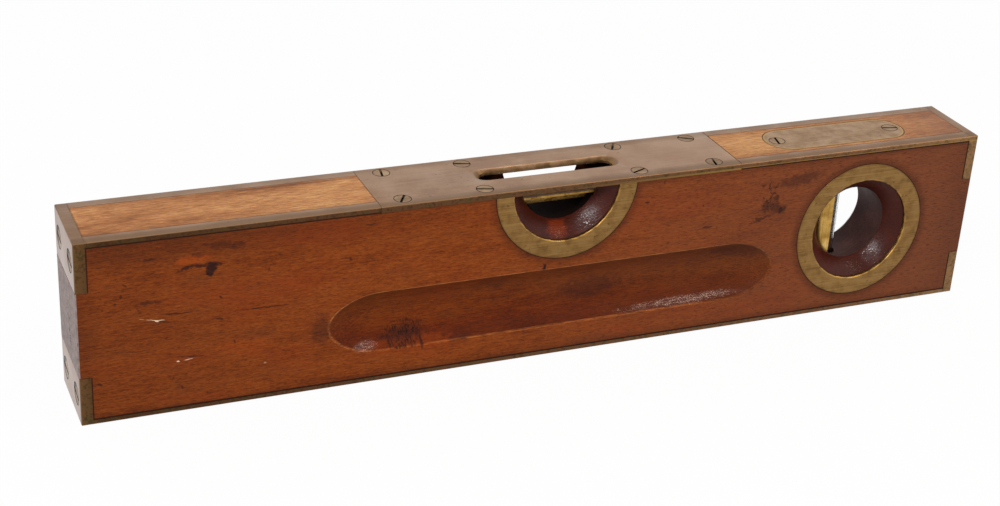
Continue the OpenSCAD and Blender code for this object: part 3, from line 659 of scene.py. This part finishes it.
# %% A painter for a finished brass
def painted(name, layers, duller=None):
    """Lays (mask, paint) pairs made by layers(tree, x, y, z, mm) over a brass's colour. A second
    function of the same kind may give a length to add to its roughness."""
    t = BRASS[name].node_tree
    shader = t.nodes["Principled BSDF"]
    base = shader.inputs["Base Color"].links[0].from_socket
    mm = next(n for n in t.nodes if n.type == "VECT_MATH" and n.operation == "SCALE").outputs[0]
    split = put(t, "SeparateXYZ", {"Vector": mm}).node.outputs
    feed(t, shader, Base_Color=laid(t, base, layers(t, *split, mm)))
    if duller:
        first = shader.inputs["Roughness"].links[0].from_socket
        feed(t, shader, Roughness=put(t, "Math", {0: first, 1: duller(t, *split, mm)}))
    print(name, "has", len(t.nodes), "nodes")


# %% [markdown]
# The binding's side faces hold grime, dark olive at the left and golden brown at the right. The
# strips' tops are browner than the plate, the end faces are painted paler as a reflection of the
# light from the left, and the long slot is rubbed yellow by dusting. A golden line runs along the
# lower edge of the right-hand brass: fresh filed brass, with a painted highlight on that edge.

# %% Grime and rubbing on the binding
def binding_layers(t, x, y, z, mm):
    """Grime on the sides, browner strips, ends painted pale as a reflection, a rubbed slot, and a
    golden lower line that is partly a painted highlight.
    """
    out = put(t, "Math", {0: y}, operation="ABSOLUTE")
    away = put(t, "Math", {0: x}, operation="ABSOLUTE")
    uneven = put(t, "TexNoise", {"Vector": mm, "Scale": 0.35, "Detail": 4.0})
    strips = put(t, "MapRange", {"Value": out, "From Min": 10.0, "From Max": 12.0,
                                 "To Max": 0.38})
    near = put(t, "MapRange", {"Value": y, "From Min": -10.0, "From Max": -12.0,
                               "To Max": 0.4})
    tips = put(t, "MapRange", {"Value": away, "From Min": 148.0, "From Max": 149.0,
                               "To Max": 0.45})
    strips = together(t, [strips, near, tips], "ADD")
    # painted reflection: the end faces are paler for the light from the left that they mirror
    ends = put(t, "MapRange", {"Value": away, "From Min": 152.3, "From Max": 152.39,
                               "To Max": 0.8})
    sides = put(t, "MapRange", {"Value": out, "From Min": 13.8, "From Max": 13.95})
    grime = put(t, "ValToRGB", {"Fac": put(t, "MapRange", {
        "Value": x, "From Min": -152.0, "From Max": 152.0})}, stops=[
        (0.0, "#684b2e"), (0.02, "#4c321f"), (0.86, "#745238"), (0.98, "#8a6846")])
    spots = put(t, "TexNoise", {"Vector": mm, "Scale": 1.1, "Detail": 4.0})
    grime = laid(t, grime, [(put(t, "MapRange", {
        "Value": uneven, "From Min": 0.5, "From Max": 0.7, "To Max": 0.6}), "#4c4426"),
        (put(t, "MapRange", {"Value": spots, "From Min": 0.52, "From Max": 0.62,
                             "To Max": 0.4}), "#2c2012")])
    # the golden lower line is fresh filed brass with a painted highlight on the lower edge
    low = put(t, "Math", {0: z, 1: 57.9, 2: 0.35}, operation="COMPARE")
    gold_line_and_highlight = put(t, "MapRange", {"Value": x, "From Min": 0.0, "From Max": 60.0, "To Max": 0.6})
    gold_line_and_highlight = together(t, [low, gold_line_and_highlight, sides], "MULTIPLY")
    below = put(t, "MapRange", {"Value": z, "From Min": 59.56, "From Max": 59.2})
    slot = put(t, "MapRange", {"Value": out, "From Min": 8.0, "From Max": 7.5})
    within = put(t, "MapRange", {"Value": away, "From Min": 25.6, "From Max": 25.0})
    rubbed = together(t, [below, slot, within], "MULTIPLY")
    far_wall = put(t, "MapRange", {"Value": y, "From Min": 1.0, "From Max": 2.4})
    stains = together(t, [rubbed, far_wall, put(t, "MapRange", {
        "Value": uneven, "From Min": 0.38, "From Max": 0.62, "To Max": 0.6})], "MULTIPLY")
    band = put(t, "Math", {0: z, 1: 58.55, 2: 0.3}, operation="COMPARE")
    band = together(t, [band, rubbed, put(t, "MapRange", {
        "Value": uneven, "From Min": 0.36, "From Max": 0.5, "To Max": 0.6})], "MULTIPLY")
    lit = put(t, "MapRange", {"Value": x, "From Min": -40.0, "From Max": 60.0, "To Max": 0.5})
    plate = put(t, "MapRange", {"Value": out, "From Min": 9.9, "From Max": 9.7})
    lit = together(t, [lit, plate], "MULTIPLY")
    return [(lit, "#ab8a70"), (strips, "#7a5e46"), (ends, "#bcaaa2"), (sides, grime),
            (gold_line_and_highlight, "#9c7b40"), (rubbed, "#86694e"), (band, "#846431"),
            (stains, "#46301f")]


painted("binding_brass", binding_layers)

# %% [markdown]
# The rings are brightest where fingers reach into the sights and darkest where they meet the
# wood. The cover's rim was rubbed golden in the same way. Both are bands of a distance.

# %% Bright edges of the rings and the cover
def ring_layers(t, x, y, z, mm):
    """A bright inner edge and a darker outer one on the sight rings."""
    far = from_sights(t, x, z)
    inner = put(t, "MapRange", {"Value": far, "From Min": 18.5, "From Max": 18.1,
                                "To Max": 0.6})
    uneven = put(t, "TexNoise", {"Vector": mm, "Scale": 0.3, "Detail": 4.0})
    inner = together(t, [inner, put(t, "MapRange", {
        "Value": uneven, "From Min": 0.4, "From Max": 0.6})], "MULTIPLY")
    olive = put(t, "MapRange", {"Value": uneven, "From Min": 0.5, "From Max": 0.7,
                                "To Max": 0.3})
    outer = put(t, "MapRange", {"Value": far, "From Min": 23.2, "From Max": 23.9,
                                "To Max": 0.45})
    return [(olive, "#6e5a3a"), (inner, "#c79a4e"), (outer, "#5c4426")]


def cover_layers(t, x, y, z, mm):
    """A rim rubbed golden round the cover."""
    rim = put(t, "MapRange", {"Value": from_cover(t, x, y), "From Min": 7.2, "From Max": 7.7,
                              "To Max": 0.75})
    return [(rim, "#b4904e")]


painted("ring_brass", ring_layers)
painted("cover_brass", cover_layers)

# %% [markdown]
# The level tube hangs in the dark under the plate and was never wiped, so its flange is dull and
# it has dark spots. On both tubes old lacquer has run down in drips, which are noise stretched
# upright.

# %% Dull flange, spots and drips on the tubes
def case_layers(t, x, y, z, mm):
    """A dull dirty edge on the level case's flange, spots on its tube, drips on both tubes."""
    out = put(t, "Math", {0: y}, operation="ABSOLUTE")
    edge = put(t, "MapRange", {"Value": out, "From Min": 6.4, "From Max": 6.9, "To Max": 0.9})
    on_flange = put(t, "Math", {0: z, 1: 53.35}, operation="GREATER_THAN")
    edge = together(t, [edge, on_flange], "MULTIPLY")
    upright = put(t, "VectorMath", {0: mm, 1: (1.6, 1.6, 0.04)}, operation="MULTIPLY")
    drips = put(t, "TexNoise", {"Vector": upright, "Scale": 1.0, "Detail": 3.0})
    drips = put(t, "MapRange", {"Value": drips, "From Min": 0.54, "From Max": 0.66,
                                "To Max": 0.35})
    spots = put(t, "TexNoise", {"Vector": mm, "Scale": 0.7, "Detail": 3.0})
    spots = put(t, "MapRange", {"Value": spots, "From Min": 0.55, "From Max": 0.63,
                                "To Max": 0.5})
    on_level_tube = put(t, "Math", {0: x, 1: 60.0}, operation="LESS_THAN")
    spots = together(t, [spots, on_level_tube], "MULTIPLY")
    return [(drips, "#5e4520"), (spots, "#3a2813"), (edge, "#6a564c")]


def hidden_tube(t, x, y, z, mm):
    """More roughness on the level tube, which nobody has wiped since it was hung."""
    return put(t, "MapRange", {"Value": x, "From Min": 61.0, "From Max": 60.0, "To Max": 0.4})


painted("case_brass", case_layers, hidden_tube)

# %% [markdown]
# The end screws sit deep in their seats, and the wall of each seat shades the back side of its
# head in a crescent. That shade is painted: a crescent is what one disc leaves of another, so the
# dark is painted on the head outside a circle that is set off its axis.

# %% Painted shade crescents on the end screws
def crescent_layers(t, x, y, z, mm):
    """Painted shade: dark outside a 3 mm circle whose middle is 1.8 mm to the front of each end
    screw's axis.

    The two screws of a row are 16 mm apart, so one WRAP folds both onto one axis."""
    across = put(t, "Math", {0: put(t, "Math", {0: y, 1: 9.8}), 1: 8.0, 2: -8.0},
                 operation="WRAP")
    along = put(t, "Math", {0: off(t, z, MID_Z), 1: 21.85}, operation="SUBTRACT")
    far = put(t, "VectorMath", {0: put(t, "CombineXYZ", {"X": across, "Y": along})},
              operation="LENGTH", out="Value")
    # painted shade on the back side of each head, where the seat's wall shades it
    crescent_shade = put(t, "MapRange", {"Value": far, "From Min": 2.9, "From Max": 3.2, "To Max": 0.95})
    on_end = put(t, "Math", {0: put(t, "Math", {0: x}, operation="ABSOLUTE"), 1: 152.0},
                 operation="GREATER_THAN")
    return [(together(t, [crescent_shade, on_end], "MULTIPLY"), "#15100b")]


painted("screw_brass", crescent_layers)

# %% [markdown]
# ## Glass, spirit, plaster and steel
# The vials are clear soda glass filled with tinted spirit, each with a bubble, and bedded in
# plaster. They hardly show from outside, but the top slot and the sights look in on them.

# %% Materials of the vials and springs
def clear(name, tint, ior, rough=0.02):
    """Glass or a liquid: light goes through and takes a tint, a little uneven in strength."""
    material, t, shader, mm = start(name, IOR=ior, Roughness=rough, Transmission_Weight=1.0)
    cloud = put(t, "TexNoise", {"Vector": mm, "Scale": 0.3, "Detail": 2.0})
    colour = put(t, "Mix", {"Factor": cloud, "A": tint, "B": "#ffffff"}, data_type="RGBA")
    feed(t, shader, Base_Color=colour)
    return material


def mineral(name, low, high, roughness, metal, size):
    """A plain solid with a two-colour mottle and a fine tooth."""
    material, t, shader, mm = start(name, Metallic=metal, Roughness=roughness)
    cloud = put(t, "TexNoise", {"Vector": mm, "Scale": size, "Detail": 4.0})
    colour = put(t, "Mix", {"Factor": cloud, "A": low, "B": high}, data_type="RGBA")
    relief = put(t, "Bump", {"Height": cloud, "Distance": 0.00005, "Strength": 0.6})
    feed(t, shader, Base_Color=colour, Normal=relief)
    return material


INNER = {
    "vial_glass": clear("soda_glass_tube", "#e4f0ea", 1.5),
    "spirit": clear("tinted_spirit", "#e9e2a2", 1.36),
    "air_bubble": clear("air_in_spirit", "#fbfbf4", 1.1),
    "plaster": mineral("set_plaster", "#b9b2a4", "#ddd6c8", 0.85, 0.0, 1.5),
    "spring_steel": mineral("drawn_spring_steel", "#5f5c58", "#97938c", 0.35, 1.0, 2.0),
}
dress(INNER)
print("inner kinds:", sorted(INNER))

# %% [markdown]
# ## The sight rings
# Each ring is a flat brass washer let into the wood and filed flush. Its outer edge is crisp
# and its inner edge is rounded by fingers and a little dented, which is why it sparkles. A flat
# CAD ring has square edges, so each ring is made again here: one cross-section with rounded
# corners is carried round the sight. The rings of the level sight stop under the plate, where
# each circle of the section ends at the same height.

# %% A ring as one surface
RING_R, RING_IN, RING_T, PLATE_Z = 23.9, 17.9, 1.2, 57.6
CRISP, ROUNDED, TURNS = 0.12, 0.5, 240


def sheet(rows, cols, wrap):
    """Corner numbers of the quads of a grid whose columns close, and whose rows do if wrap."""
    r, c = np.meshgrid(np.arange(rows if wrap else rows - 1), np.arange(cols), indexing="ij")
    r2, c2 = (r + 1) % rows, (c + 1) % cols
    return np.stack((r * cols + c, r * cols + c2, r2 * cols + c2, r2 * cols + c), -1).reshape(-1, 4)


def section(outer, inner, thick, crisp, rounded, steps=6):
    """A washer's cross-section as radius and depth, with quarter circles at its front corners."""
    a = np.linspace(0, np.pi / 2, steps)
    lip_out = np.column_stack((outer - crisp + crisp * np.cos(a), crisp - crisp * np.sin(a)))
    lip_in = np.column_stack((inner + rounded - rounded * np.sin(a),
                              rounded - rounded * np.cos(a)))
    return np.vstack(([[outer, thick]], lip_out, lip_in, [[inner, thick]]))


def ring(name, sight, side, half):
    """Carries the section round the sight. side is -1 on the front face and 1 on the back.

    A half ring starts and ends where a circle of radius r meets the plate's underside, at the
    angle asin(drop / r) past level. The dents are a sum of sines of the angle on the inner edge."""
    shape = section(RING_R, RING_IN, RING_T, CRISP, ROUNDED)
    r, deep = shape[:, 0], shape[:, 1]
    cut = np.arcsin((sight[1] - PLATE_Z) / r) if half else np.zeros_like(r)
    u = np.linspace(0, 1, TURNS) if half else np.arange(TURNS) / TURNS
    angle = -(cut + u[:, None] * ((np.pi if half else 2 * np.pi) - 2 * cut))
    dent = 0.05 * np.sin(23 * angle) * np.sin(7 * angle + side) + 0.03 * np.sin(41 * angle)
    worn = r + dent * (deep < 0.6) * (r < RING_IN + 0.6)
    x = sight[0] + worn * np.cos(angle)
    z = sight[1] + worn * np.sin(angle)
    y = side * (HALF_W - deep) + 0 * angle
    spots = np.stack((x, y, z), -1).reshape(-1, 3) / 1000
    faces = sheet(TURNS, len(r), not half)
    if side > 0:
        faces = faces[:, ::-1]
    faces = faces.tolist()
    if half:
        ends = [list(range(len(r)))[::-1], list(range((TURNS - 1) * len(r), TURNS * len(r)))]
        faces += [e if side < 0 else e[::-1] for e in ends]
    mesh = bpy.data.meshes.new(name)
    mesh.from_pydata(spots.tolist(), [], faces)
    mesh.shade_smooth()
    mesh.set_sharp_from_angle(angle=np.radians(40))
    mesh.materials.append(BRASS["ring_brass"])
    piece = bpy.data.objects.new(name, mesh)
    bpy.context.collection.objects.link(piece)
    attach(piece, "level")
    return piece


for sight_name, sight, half in (("level", LEVEL_SIGHT, True), ("plumb", PLUMB_SIGHT, False)):
    for where_on, side in (("front", -1), ("back", 1)):
        made = ring(f"{sight_name}_washer_{where_on}", sight, side, half)
        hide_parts(f"{sight_name}_ring_{where_on}")
        shape = bmesh.new()
        shape.from_mesh(made.data)
        print(made.name, "volume, mm3:", round(shape.calc_volume(signed=True) * 1e9, 1))
        shape.free()

# %% [markdown]
# ## Eased edges
# A century of handling has rounded the long outer edges of the binding, and they catch the
# light as fine lines. The measured pieces have those edges broken by a flat cut of 0.4 mm. A
# Bevel modifier would also round the joints between pieces, so copies are made in which only
# the corners of that cut are rounded, and the joints stay tight. The seats of the screws are
# marked for dirt in the same copies, which first needs the places of the screws.

# %% Screw places
SCREWS = {
    "plate_screws": ("level", [(x, y, TOP) for x in (-53, 53) for y in (-9.9, 9.9)]),
    "case_screws": ("level", [(-26.3, y, TOP) for y in (-9.9, 9.9)]),
    "cover_screws": ("level", [(x, 0, TOP) for x in (81.9, 125.7)]),
    "tip_screws": ("level", [(end * HALF_L, y, z) for end in (-1, 1) for y in (-8, 8)
                             for z in (7.95, 51.65)]),
    "adjusting_screw_front": ("front_adjuster", [(26.3, -9.9, TOP)]),
    "adjusting_screw_back": ("back_adjuster", [(26.3, 9.9, TOP)]),
}


def axis_of(node):
    """The direction of a node's screws: 0 for along X, 2 for along Z."""
    return 0 if node == "tip_screws" else 2


def by_screw(spots, head, way):
    """For spots in mm: the arm from a screw's axis, its length, and the depth under the head."""
    arm = spots - np.array(head)
    deep = np.abs(arm[:, way])
    arm[:, way] = 0
    return arm, np.linalg.norm(arm, axis=1), deep


def seat_faces(mesh):
    """1 for each face of a screw's seat: near an axis and not facing along it."""
    middle = 1000 * read(mesh, mesh.polygons, "center", 3)
    facing = np.abs(read(mesh, mesh.polygons, "normal", 3))
    found = np.zeros(len(middle), bool)
    for node, (_, heads) in SCREWS.items():
        for head in heads:
            _, far, deep = by_screw(middle, head, axis_of(node))
            found |= (far < 3.7) & (deep > 0.02) & (deep < 3) & (facing[:, axis_of(node)] < 0.95)
    return found


print("screws:", {node: len(heads) for node, (_, heads) in SCREWS.items()})

# %% Copies with eased edges
EASED = 0.14


def eased(node):
    """A copy of a binding piece whose edges on the bar's outside are rounded, in mm.

    An edge is chosen if it is longer than 1.5 mm, lies in one of the bar's outer planes, and
    is within 0.45 mm of a second one. Distances are taken from the bar's middle, so that one
    test serves for all its sides."""
    piece = merged_copy(node, node + "_worn")
    shape = bmesh.new()
    shape.from_mesh(piece.data)
    bmesh.ops.dissolve_limit(shape, angle_limit=np.radians(1), verts=shape.verts,
                             edges=shape.edges)
    limits = np.array((HALF_L, HALF_W, MID_Z)) / 1000
    chosen = []
    for edge in shape.edges:
        ends = np.abs(np.array([v.co[:] for v in edge.verts]) - (0, 0, MID_Z / 1000))
        on_face = (np.abs(ends - limits) < 2e-5).all(axis=0).sum()
        by_corner = (limits - ends < 4.5e-4).all(axis=0).sum()
        if on_face >= 1 and by_corner >= 2 and edge.calc_length() > 0.0015:
            chosen.append(edge)
    bmesh.ops.bevel(shape, geom=chosen, offset=EASED / 1000, segments=2, profile=0.5,
                    affect="EDGES", clamp_overlap=False)
    bmesh.ops.triangulate(shape, faces=shape.faces)
    shape.to_mesh(piece.data)
    shape.free()
    mesh = piece.data
    mesh.shade_smooth()
    mesh.set_sharp_from_angle(angle=np.radians(40))
    dirt = seat_faces(mesh).astype(np.float32)
    mesh.attributes.new("dirt", "FLOAT", "FACE").data.foreach_set("value", dirt)
    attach(piece, "level")
    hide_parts(node)
    return piece, len(chosen)


for node in sorted(nodes):
    if node.startswith(("top_plate", "top_strip", "sole_strip", "tip_left", "tip_right",
                        "plumb_cover")):
        piece, count = eased(node)
        print(piece.name, "edges eased:", count)

# %% [markdown]
# ## The screws
# A countersunk head that has been driven and filed shows a dark hairline round it and a dark
# slot. Both come from dirt in a narrow gap. The measured screws fit their seats so closely
# that no gap shows, so a copy of each has the top of its rim drawn in by 0.2 mm, or 0.3 mm on
# the larger end screws. That opens a small groove. Its rim and slot are marked for dirt.

# %% Screw copies with an open rim
def open_rim(piece, heads, way, head_r, drawn):
    """Moves the outer corner of each head's top towards its axis by the drawn length in mm.

    Faces near the axis are marked for dirt if they stand upright in the top 2 mm or lie more
    than 0.3 mm below the top, as a slot's floor does."""
    mesh = piece.data
    spots = 1000 * read(mesh, mesh.vertices, "co", 3)
    middle = 1000 * read(mesh, mesh.polygons, "center", 3)
    upright = np.abs(read(mesh, mesh.polygons, "normal", 3)[:, way]) < 0.9
    dirty = np.zeros(len(middle), bool)
    for head in heads:
        arm, far, deep = by_screw(spots, head, way)
        edge = (deep < 0.01) & (np.abs(far - head_r) < 0.05)
        spots[edge] -= arm[edge] / far[edge, None] * drawn
        _, far, deep = by_screw(middle, head, way)
        dirty |= (far < head_r + 0.1) & ((upright & (deep < 2)) | ((deep > 0.3) & (deep < 20)))
    mesh.vertices.foreach_set("co", (spots / 1000).astype(np.float32).ravel())
    mesh.attributes.new("dirt", "FLOAT", "FACE").data.foreach_set("value", dirty.astype(np.float32))
    mesh.update()
    return int(dirty.sum())


for node, (body, heads) in SCREWS.items():
    copy = merged_copy(node, node + "_worn")
    head_r, drawn = (3.6, 0.3) if node == "tip_screws" else (2.75, 0.2)
    count = open_rim(copy, heads, axis_of(node), head_r, drawn)
    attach(copy, body)
    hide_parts(node)
    print(copy.name, "dirty faces:", count)

# %% [markdown]
# ## The springs
# Each adjusting screw has a coil spring between the plate and the ear of the case. When the
# case rises, the real spring shortens by up to 0.3 mm. The measured springs are rigid. A copy of
# them is made with its place baked into its points, and the measured ones are hidden; the copy
# is not bent and follows neither body.

# %% A copy of the springs
springs = merged_copy("adjusting_springs", "adjusting_springs_live")
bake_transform(springs)
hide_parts("adjusting_springs")
print("spring points that follow both bodies:", len(springs.data.vertices))

# %% [markdown]
# ## Floor, backdrop and light
# The photograph was taken on white paper. Paper lit until it looks pure white would throw too
# much light up at the tool. So the floor is plain white to the rays that see it straight, in a
# mirror or through glass, with a little of the shaded paper mixed in for its soft shadow, and
# ordinary paper to all the others.

# %% Floor
floor_mesh = bpy.data.meshes.new("paper_floor")
floor_mesh.from_pydata([(-4, -4, -0.0002), (4, -4, -0.0002), (4, 6, -0.0002), (-4, 6, -0.0002)],
                       [], [(0, 1, 2, 3)])
floor = bpy.data.objects.new("paper_floor", floor_mesh)
bpy.context.collection.objects.link(floor)
floor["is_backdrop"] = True
paper = bpy.data.materials.new("white_paper")
paper.use_nodes = True
t = paper.node_tree
matt = t.nodes["Principled BSDF"]
matt.inputs["Base Color"].default_value = linear("#f2f2f3")
matt.inputs["Roughness"].default_value = 0.9
plain = put(t, "Emission", {"Color": "#ffffff", "Strength": 1.0})
SEEING_RAYS, WHITE_SHARE = ("Is Camera Ray", "Is Glossy Ray", "Is Transmission Ray"), 0.955
path = t.nodes.new("ShaderNodeLightPath").outputs
seen = together(t, [together(t, [path[ray] for ray in SEEING_RAYS]), WHITE_SHARE], "MULTIPLY")
mixed = put(t, "MixShader", {0: seen, 1: matt.outputs[0], 2: plain})
t.links.new(mixed, t.nodes["Material Output"].inputs["Surface"])
floor_mesh.materials.append(paper)
print("white share of the floor:", WHITE_SHARE)

# %% [markdown]
# Soft light came from the upper left. A large lamp there does most of the work, a weaker one
# fills from the right, and the room's own glow does the rest. A small bulb over the camera and
# a narrow warm strip in front of the tool leave the glints in its varnish. The backdrop is
# white to the same rays as the floor.

# %% World and lamps
world = bpy.data.worlds.new("studio")
bpy.context.scene.world = world
world.use_nodes = True
t = world.node_tree
path = t.nodes.new("ShaderNodeLightPath").outputs
seen = together(t, [path[ray] for ray in SEEING_RAYS])
room = put(t, "Background", {"Color": "#f2f3f6", "Strength": 0.55})
white = put(t, "Background", {"Color": "#ffffff", "Strength": 1.0})
mixed = put(t, "MixShader", {0: seen, 1: room, 2: white})
t.links.new(mixed, t.nodes["World Output"].inputs["Surface"])
# name, place in metres, width and height in metres, power in watts, colour
LAMPS = [("window_left", (-1.1, -0.9, 1.2), 0.9, 0.9, 14.0, "#ffffff"),
         ("bulb_over_camera", (-0.49, -0.95, 1.19), 0.06, 0.06, 3.0, "#ffffff"),
         ("strip_front", (0.73, -0.85, 1.14), 0.35, 0.07, 2.6, "#ffe2c0"),
         ("fill_right", (1.2, -0.8, 0.9), 1.2, 1.2, 4.0, "#ffffff")]
for name, place, wide, tall, power, colour in LAMPS:
    lamp = bpy.data.lights.new(name, "AREA")
    lamp.shape, lamp.size, lamp.size_y, lamp.energy = "RECTANGLE", wide, tall, power
    lamp.color = linear(colour)[:3]
    holder = bpy.data.objects.new(name, lamp)
    holder.location = place
    holder.rotation_euler = (-Vector(place)).to_track_quat("-Z", "Y").to_euler()
    bpy.context.collection.objects.link(holder)
bpy.context.scene.view_settings.view_transform = "Standard"
print("lamps, W:", {name: power for name, _, _, _, power, _ in LAMPS})

# %% [markdown]
# ## The end
# Both boxes are printed: the measured tool's at the start and the dressed tool's here. The
# dressed tool must stay inside the measured one's box.

# %% Sizes, and the end
dressed_box = [list(corner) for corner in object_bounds()]
print("dressed box, mm:", [[round(1000 * v, 1) for v in c] for c in dressed_box])
